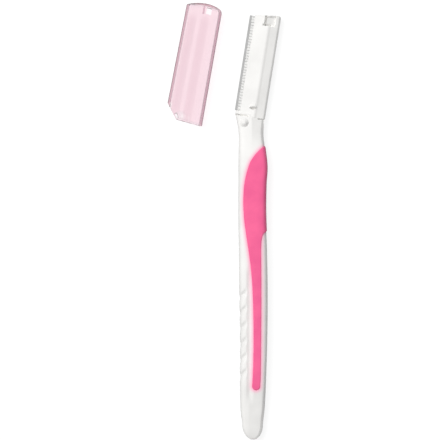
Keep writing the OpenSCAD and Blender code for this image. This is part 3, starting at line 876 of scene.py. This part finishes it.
blade = {
    "edge": -5.5,
    "edgeHalf": 0.004,  # half thickness of the edge itself
    "back": -0.3,
    "backRound": 0.05,
    "thickness": 0.25,
    "bevel": 0.7,
    "microBevel": 0.12,
    "microGain": 1.6,  # how much steeper the short bevel is
    "start": 1.66,
    "length": 33.9,
    "slices": 60,
}


def bladePiece():
    # strip with a long bevel and a short one at its edge, on both sides, carried straight along
    # the head
    half, r = blade["thickness"] / 2, blade["backRound"]
    edge, back = blade["edge"], blade["back"]
    micro = half * blade["microBevel"] / blade["bevel"] * blade["microGain"]
    side = np.array([(edge, blade["edgeHalf"]), (edge + blade["microBevel"], micro),
                     (edge + blade["bevel"], half), (back - r, half), (back, half - r)])
    ring = np.concatenate([side, (side * (1, -1))[::-1], side[:1]])
    v = blade["start"] + blade["length"] * np.linspace(0, 1, blade["slices"])[:, None]
    grid = capped(np.stack([ring[:, 0] + 0 * v, v + 0 * ring[:, 0], ring[:, 1] + 0 * v], -1))
    weldedPiece("bladeStrip", [placed(grid, "head")], steel, "razor", "blade", sharpAngle=3)


comb = {
    "thickness": 0.4,
    "lift": 0.145,  # from the middle plane to the comb
    "back": -0.9,
    "root": -3.55,
    "overlap": 0.2,  # of the teeth with the strip
    "stripRound": 0.06,
    "tip": -4.7,
    "pitch": 1.0,
    "toothWidth": 0.93,
    "toothRound": 0.15,
    "endBar": 0.42,
    "count": 33,
}


def combPiece(name, node, turn):
    # strip with rounded teeth set at an even pitch along it, and a narrow one at each end
    low, high = comb["lift"], comb["lift"] + comb["thickness"]
    start, length = blade["start"], blade["length"]
    strip = roundedBox((comb["root"], start, low), (comb["back"], start + length, high), comb["stripRound"])
    tip, root = comb["tip"], comb["root"] + comb["overlap"]
    tooth, bar = (roundedBox((tip, 0, low), (root, width, high), comb["toothRound"])
                  for width in (comb["toothWidth"], comb["endBar"]))
    first = start + (length - comb["count"] * comb["pitch"] + comb["pitch"] - comb["toothWidth"]) / 2
    places = first + comb["pitch"] * np.arange(comb["count"])
    grids = [bar + np.array([0, y, 0]) for y in (start, start + length - comb["endBar"])]
    grids += [tooth + np.array([0, y, 0]) for y in places]
    grids = [placed(turn(g), "head") for g in [strip] + grids]
    weldedPiece(name, grids, combAbs, "razor", node)


def holderPiece():
    # rear half of the head with its foot below the blade
    grids = [placed(backFace(g), "head") for g in headShell(False) + [roundedBox(*head["foot"])]]
    weldedPiece("bladeHolder", grids, headAbs, "razor", "blade_holder")


def coverPiece():
    # front half of the head with its foot, its tongue over the neck and the staked pins behind
    left, right, low, high = head["tongue"]
    under, face = head["tongueFace"]
    tongue = roundedBox((left, low, under), (right, high, face), head["tongueRound"])
    fall = np.maximum(tongue[..., 0] - head["tongueBend"], 0) * handle["spineFall"]
    tongue[..., 2] -= fall * (tongue[..., 2] > (under + face) / 2)
    corner, far, r = head["foot"]
    foot = roundedBox((corner[0], head["coverFoot"], corner[2]), far, r)
    stakes = [backFace(dome(place, head["stakeRadius"], *head["stakeFace"])) for place in head["stakes"]]
    grids = [placed(g, "head") for g in headShell(True) + [tongue, foot] + stakes]
    weldedPiece("bladeCover", grids, headAbs, "razor", "blade_cover")


holderPiece()
coverPiece()
bladePiece()
combPiece("frontComb", "guard_comb_front", lambda g: g)
combPiece("backComb", "guard_comb_back", backFace)


# Cap

cap = {
    "length": 42.84,
    "halfWidth": 6.55,
    "draft": (1.032, 0.0014),  # share of the width at the mouth and its loss per millimetre
    "wall": 0.37,
    "sideWall": 0.95,
    "rows": 70,
    "rowPower": 1.4,  # sets the rings closer towards the mouth
    "faceFrom": 1.5,  # its faces are the parts of the walls beyond this height
    "bands": (-3.6, 0.9),  # thicker strips along its inner faces
    "bandWidth": 1.9,
    "bandDepth": 0.46,
    # strength of the painted shade over the thicker strips
    "paintedBandShade": 0.17,
    "bandStart": (1.6, 0.6),  # height where they begin, and over which they rise
    "bandEnd": 3,  # length over which they run out below the window
    "paintedEdgeShade": (5.4, 0.25),  # where the painted shade over the side walls begins, and the width of the change
    "paintedSideShades": (0.56, 1),  # strength of the painted shade over the side walls, on the blade's side and on the spine side
    "endWall": 0.8,
    "crown": (0.8, 0.024, 0.042),  # its middle and its fall to the left and right, per square millimetre
    "innerCrown": (0, 0.021, 0.021),
    # corners of the section's front half, from the blade's side to the spine side
    "section": [(-6.55, 2.95), (-3.7, 3.55), (0.9, 3.55), (6.55, 2.85)],
    "sectionStep": 0.06,
    "counts": (26, 22, 12, 34),  # lines on the section between its stops
    "cornerRound": 0.7,
    "innerRound": 0.35,
    "creaseRound": 0.5,
    "endRound": 0.7,
    "endEdge": (0.7, 0.15),  # radius of the closed end's edge, and the least one inside
    "endRows": (6, 12),  # rings over that edge and over the closed end
    # the mouth's outline across the cap
    "mouth": [(-6.56, 5.9), (-2.95, 1.2), (-2.4, 0.8), (6.56, 0)],
    "window": (0.85, 2.75),
    "windowBottom": 39.2,
    "windowRings": (0.2, 0.4, 0.6, 0.85, 0.875, 0.9),  # places above its bottom, as parts of the last
    "windowTop": 4,  # the ring at its top
    "lastShare": 0.98,  # place of the last of them on the way to the closed end's edge
    "rib": ((-0.35, 39.0, 0.3), (0.25, 42.02, 2.98), 0.1),
    # strength of the painted shade on the rib
    "paintedRibShade": 0.6,
    "paintedEndShade": (1.05, 0.3, 0.45),  # reach, fade and strength of the painted shade over the closed end
    "paintedEndLight": (0.45, 0.2, 0.8),  # the same for the painted light along its rounded edge
    "cornerShares": (0.55, 1),  # roundness of the closed end's left and right corner
    "pocket": (-1.15, 1.95, 2.3),  # place and radius
    "pocketDepth": 0.12,
    "pocketFades": (0.9, 1.0),  # width of its edge, and of its fall to the mouth
    "highlightSpot": (-0.3, 2.2, 1.2),  # place and radius of the painted highlight in the pocket
    # strength of the painted highlight
    "paintedHighlight": 0.85,
    "paintedRimShadeAndLight": (0.5, 0.31),  # strength of the painted shade beside the mouth, and in the pocket round its painted highlight
    # strength of the painted light beside the mouth and in the pocket
    "paintedRimLight": 0.5,
    "rimFades": (0.5, 0.7),  # of the pocket and of its painted highlight
    "mouthBand": (0.9, 0.4),  # reach of the band of painted shade and painted light along the mouth, and its fade
    "paintedCornerShade": (5.4, 0.8),  # where the painted shade of the left wall begins above the slanted mouth
    "paintedLightCorner": (-4.8, 6.6, 0.8),  # painted light, in place of painted shade, left of and below this place at that corner, and its fade
    "mouthRound": 0.36,
    "mouthBulge": 0.06,
    "mouthFade": 0.5,  # width over which its rounding runs out at the slanted corner
}


def capRing(inset, side):
    # points of the section at fixed shares between its stops, so that inner and outer walls match
    stops = [cap["section"][1][0], *cap["window"]]
    (x0, z0), (x1, z1), (x2, z2), (x3, z3) = cap["section"]
    left = z0 + side * (z1 - z0) / (x1 - x0) - inset
    right = z3 + side * (z2 - z3) / (x3 - x2) - inset
    corners = [(x0 + side, 0), (x0 + side, left), (x1, z1 - inset), (x2, z2 - inset),
               (x3 - side, right), (x3 - side, 0)]
    small = cap["innerRound"] if inset else cap["cornerRound"]
    crease = cap["creaseRound"]
    front = roundedPath(corners, [small, crease, crease, small], cap["sectionStep"])
    run = np.append(0, np.cumsum(np.linalg.norm(np.diff(front, axis=0), axis=1)))
    rising = np.maximum.accumulate(front[:, 0] + np.arange(len(front)) * tiny / 1000)
    marks = [0] + [float(np.interp(x, rising, run)) for x in stops] + [run[-1]]
    runs = [np.linspace(a, b, n + 1)[:-1] for a, b, n in zip(marks, marks[1:], cap["counts"])]
    t = np.append(np.concatenate(runs), run[-1])
    half = np.stack([np.interp(t, run, front[:, 0]), np.interp(t, run, front[:, 1])], -1)
    return np.append(half, half[-2::-1] * (1, -1), 0)


def capWall(inset, side, crown, endWall):
    # rings carried from the mouth's outline to the closed end, whose crown falls with the square
    # of the distance from its middle, then drawn together over the end
    u, z = capRing(inset, side).T
    mouth = np.interp(u, *zip(*cap["mouth"]))
    off = u - crown[0]
    end = cap["length"] - endWall - np.where(off < 0, crown[1], crown[2]) * off**2
    end = end - quarterRound(cap["halfWidth"] - side - u, cap["endRound"])
    bottom = cap["windowBottom"]
    t = np.linspace(0, 1, cap["rows"])[:, None] ** cap["rowPower"]
    tau = np.array(cap["windowRings"])[:, None] / cap["windowRings"][-1] * cap["lastShare"]
    r, least = cap["endEdge"]
    r = max(r - inset, least)
    v = np.concatenate([mouth + (bottom - mouth) * t, bottom + tau * (end - r - bottom)])
    v = np.minimum(v, end - r)
    turned, shut = cap["endRows"]
    bend = np.linspace(0, np.pi / 2, turned + 1)[1:, None]
    thick = np.concatenate([np.zeros((len(v), 1)), r * (1 - np.cos(bend))])
    v = np.concatenate([v, end - r + r * np.sin(bend)])
    z = np.sign(z) * np.maximum(np.abs(z) - thick, 0)
    share = np.where(u < 0, *cap["cornerShares"]) * thick / (cap["halfWidth"] - side)
    u = u * (1 - np.minimum(share, 1))
    shut = np.linspace(1, 0, shut)[1:, None]
    z = np.concatenate([z, z[-1] * shut])
    u, v = (np.concatenate([part, part[-1] + 0 * shut]) for part in (u, v))
    return np.stack([u, v, z], -1)


def within(grid, u, v, radius, fade):
    # 1 inside a circle of the cap's plan and 0 outside, eased over the fade
    return ease((radius - np.hypot(grid[..., 0] - u, grid[..., 1] - v)) / fade)


def bandShare(grid):
    # 1 along the middle of the thicker strips and 0 beside them and at the window
    band = np.maximum(*[hump((grid[..., 0] - place) / cap["bandWidth"]) for place in cap["bands"]])
    return band * ease((cap["windowBottom"] - grid[..., 1]) / cap["bandEnd"])


def innerRelief(inner):
    # depth of the pocket for the snap lobe less the height of the thicker strips
    z = np.abs(inner[..., 2])
    edge, slope = cap["pocketFades"]
    pocket = within(inner, *cap["pocket"], edge) * (z > cap["faceFrom"])
    pocket = pocket * ease((inner[..., 1] - inner[0, :, 1] - cap["mouthRound"]) / slope)
    begins, over = cap["bandStart"]
    return cap["pocketDepth"] * pocket - cap["bandDepth"] * bandShare(inner) * ease((z - begins) / over)


def mouthBevel(outer):
    # quarter round along the mouth, which runs out at the slanted corner
    bevel = quarterRound(outer[..., 1] - outer[0, :, 1], cap["mouthRound"])
    fade = cap["mouthFade"]
    bevel = bevel * ease((outer[..., 0] - cap["paintedLightCorner"][0] + fade) / fade)
    return bevel * (np.abs(outer[..., 2]) > cap["faceFrom"])


def paintedRimShadeAndLight(grid):
    # painted shade and painted light of a wall: both rise in a band along the mouth and in the pocket,
    # and at the pocket's painted highlight and at the slanted corner the shade goes and the light grows
    x, y = grid[..., 0], grid[..., 1]
    flat = np.abs(grid[..., 2]) > cap["faceFrom"]
    reach, fade = cap["mouthBand"]
    band = ease((reach - y + grid[0, :, 1]) / fade) * flat
    wide, small = cap["rimFades"]
    pocket = within(grid, *cap["pocket"], wide) * flat
    highlightSpot = within(grid, *cap["highlightSpot"], small) * flat
    left, low, fade = cap["paintedLightCorner"]
    corner = ease((low - y) / fade) * (x < left)
    paintedLight = np.maximum(cap["paintedRimLight"] * np.maximum(band, pocket), cap["paintedHighlight"] * highlightSpot)
    paintedBandShade, pocketShade = cap["paintedRimShadeAndLight"]
    paintedShade = np.maximum(paintedBandShade * band, pocketShade * pocket) * (1 - highlightSpot) * (1 - corner)
    return paintedShade, np.maximum(paintedLight, corner)


def paintedOuterShadeAndLight(outer):
    # painted shade and painted light of the outer wall: shade over the thicker strips, the side walls
    # and the closed end, and painted light along the closed end's rounded edge
    x, y = outer[..., 0], outer[..., 1]
    paintedShade, paintedLight = paintedRimShadeAndLight(outer)
    begins, over = cap["paintedCornerShade"]
    left, right = cap["paintedSideShades"]
    side = np.where(x < 0, ease((y - begins) / over) * left, right)
    begins, over = cap["paintedEdgeShade"]
    side = side * ease((np.abs(x) - begins) / over)
    toEnd = outer[-1, :, 1] - y
    reach, fade, strength = cap["paintedEndLight"]
    edge = ease((reach - toEnd) / fade)
    paintedLight = np.maximum(paintedLight, strength * edge)
    reach, fade, strength = cap["paintedEndShade"]
    overEnd = strength * ease((reach - toEnd) / fade) * (1 - edge)
    band = cap["paintedBandShade"] * bandShare(outer)
    return np.maximum(np.maximum(band, side), np.maximum(overEnd, paintedShade)), paintedLight


def windowEdges(walls, low, high, a, b):
    # the border of the window on each wall, which a strip between them joins
    return np.stack([np.concatenate([w[low, a:b + 1], w[low + 1:high + 1, b],
                                     w[high, b - 1:a:-1], w[high:low - 1:-1, a]]) for w in walls])


def capPiece():
    # outer and inner walls joined round the mouth and round the two window holes, with a rib inside
    outer = capWall(0, 0, cap["crown"], 0)
    inner = capWall(cap["wall"], cap["sideWall"], cap["innerCrown"], cap["endWall"])
    inner[..., 2] += np.sign(inner[..., 2]) * innerRelief(inner)
    outer[..., 2] -= np.sign(outer[..., 2]) * mouthBevel(outer)
    keep = np.ones((outer.shape[0] - 1, outer.shape[1] - 1), bool)
    low, last = cap["rows"] - 1, keep.shape[1]
    high = low + cap["windowTop"]
    left, right = sum(cap["counts"][:2]), sum(cap["counts"][:3])
    tunnels = []
    for a, b in ((left, right), (last - right, last - left)):
        keep[low:high, a:b] = False
        tunnels.append(windowEdges((outer, inner), low, high, a, b))
    lip = np.stack([outer[0], (outer[0] + inner[0]) / 2 - np.array([0, cap["mouthBulge"], 0]), inner[0]])
    rib = roundedBox(*cap["rib"])
    grids = [outer, inner, lip] + tunnels + [rib]
    plain = [np.zeros(grid.shape[:2]) for grid in tunnels]
    none = np.zeros(rib.shape[:2])
    # painted shade and painted light of each wall; the rib gets painted shade, the window's borders none
    tones, paintedLights = zip(paintedOuterShadeAndLight(outer), paintedRimShadeAndLight(inner), paintedRimShadeAndLight(lip))
    values = {"paintedWallShade": [*tones, *plain, none + cap["paintedRibShade"]], "paintedWallLight": [*paintedLights, *plain, none]}
    values = {name: np.concatenate([part.ravel() for part in parts]) for name, parts in values.items()}
    for grid in grids:
        grid[..., 0] *= cap["draft"][0] - cap["draft"][1] * grid[..., 1]
    weldedPiece("bladeCap", [placed(g, "cap") for g in grids], styrene, "cap", "blade_cap",
                values=values, keeps=(keep, keep))


capPiece()


# Stage, light and camera

stage = {
    "viewWidth": 155.5,  # what the photograph's 440 pixels span at the height of the outlines
    "centre": (-11.7, 0),
    "distance": 1500,
    "floorSize": 6000,
    "floorDrop": 0.05,
    "floorColour": "#7C7C7C",
    "floorGlow": 0.86,
    "keyPower": 8.2,
    "keySize": 0.6,
    "keyDistance": 1.0,
    "keyAzimuth": 140,  # degrees from +X towards +Y
    "keyElevation": 60,
    "world": 0.48,
    "clipEnd": 20,  # metres
}


def seenWhite(tree):
    # 1 for rays from the camera and for rays that are mirrored or let through
    rays = addNode(tree, "ShaderNodeLightPath").outputs
    seen = rays["Is Camera Ray"]
    for kind in ("Is Glossy Ray", "Is Transmission Ray"):
        most = addNode(tree, "ShaderNodeMath", {"operation": "MAXIMUM"}, {0: seen, 1: rays[kind]})
        seen = most.outputs[0]
    return seen


def paintedSweep(tree):
    # matt white paint: it takes the shadow, and glows so that the shadow stays faint
    matt = addNode(tree, "ShaderNodeBsdfDiffuse", {"Color": linear(stage["floorColour"])})
    strength = addNode(tree, "ShaderNodeMath", {"operation": "MULTIPLY", 1: stage["floorGlow"]},
                       {0: seenWhite(tree)})
    glow = addNode(tree, "ShaderNodeEmission", {}, {"Strength": strength.outputs[0]})
    both = addNode(tree, "ShaderNodeAddShader", {},
                   {0: matt.outputs["BSDF"], 1: glow.outputs["Emission"]})
    return {"Surface": both.outputs["Shader"]}


def buildStage():
    # floor, world, one lamp and a distant camera that looks straight down
    half = stage["floorSize"] / 2 * mm
    z = -stage["floorDrop"] * mm
    mesh = bpy.data.meshes.new("floor")
    corners = [(-half, -half, z), (half, -half, z), (half, half, z), (-half, half, z)]
    mesh.from_pydata(corners, [], [(0, 1, 2, 3)])
    mesh.materials.append(newMaterial("paintedSweep", paintedSweep))
    shown("floor", mesh)

    world = bpy.data.worlds.new("studio")
    world.use_nodes = True
    tree = world.node_tree
    tree.nodes.clear()
    strength = ramp(tree, seenWhite(tree), 0, 1, stage["world"], 1)
    back = addNode(tree, "ShaderNodeBackground", {}, {"Strength": strength})
    addNode(tree, "ShaderNodeOutputWorld", {}, {"Surface": back.outputs["Background"]})
    bpy.context.scene.world = world

    turn, lift = math.radians(stage["keyAzimuth"]), math.radians(stage["keyElevation"])
    aim = Vector((math.cos(turn) * math.cos(lift), math.sin(turn) * math.cos(lift), math.sin(lift)))
    lamp = bpy.data.lights.new("key", "AREA")
    lamp.energy = stage["keyPower"]
    lamp.size = stage["keySize"]
    key = shown("key", lamp)
    key.location = aim * stage["keyDistance"]
    key.rotation_euler = aim.to_track_quat("Z", "Y").to_euler()
    key.visible_glossy = False
    key.visible_transmission = False

    view = bpy.data.cameras.new("camera")
    view.lens = view.sensor_width * stage["distance"] / stage["viewWidth"]
    view.clip_end = stage["clipEnd"]
    camera = shown("camera", view)
    x, y = stage["centre"]
    camera.location = (x * mm, y * mm, (layout["midZ"] + stage["distance"]) * mm)
    bpy.context.scene.camera = camera
    bpy.context.scene.view_settings.view_transform = "Standard"


buildStage()
print("stage ready")
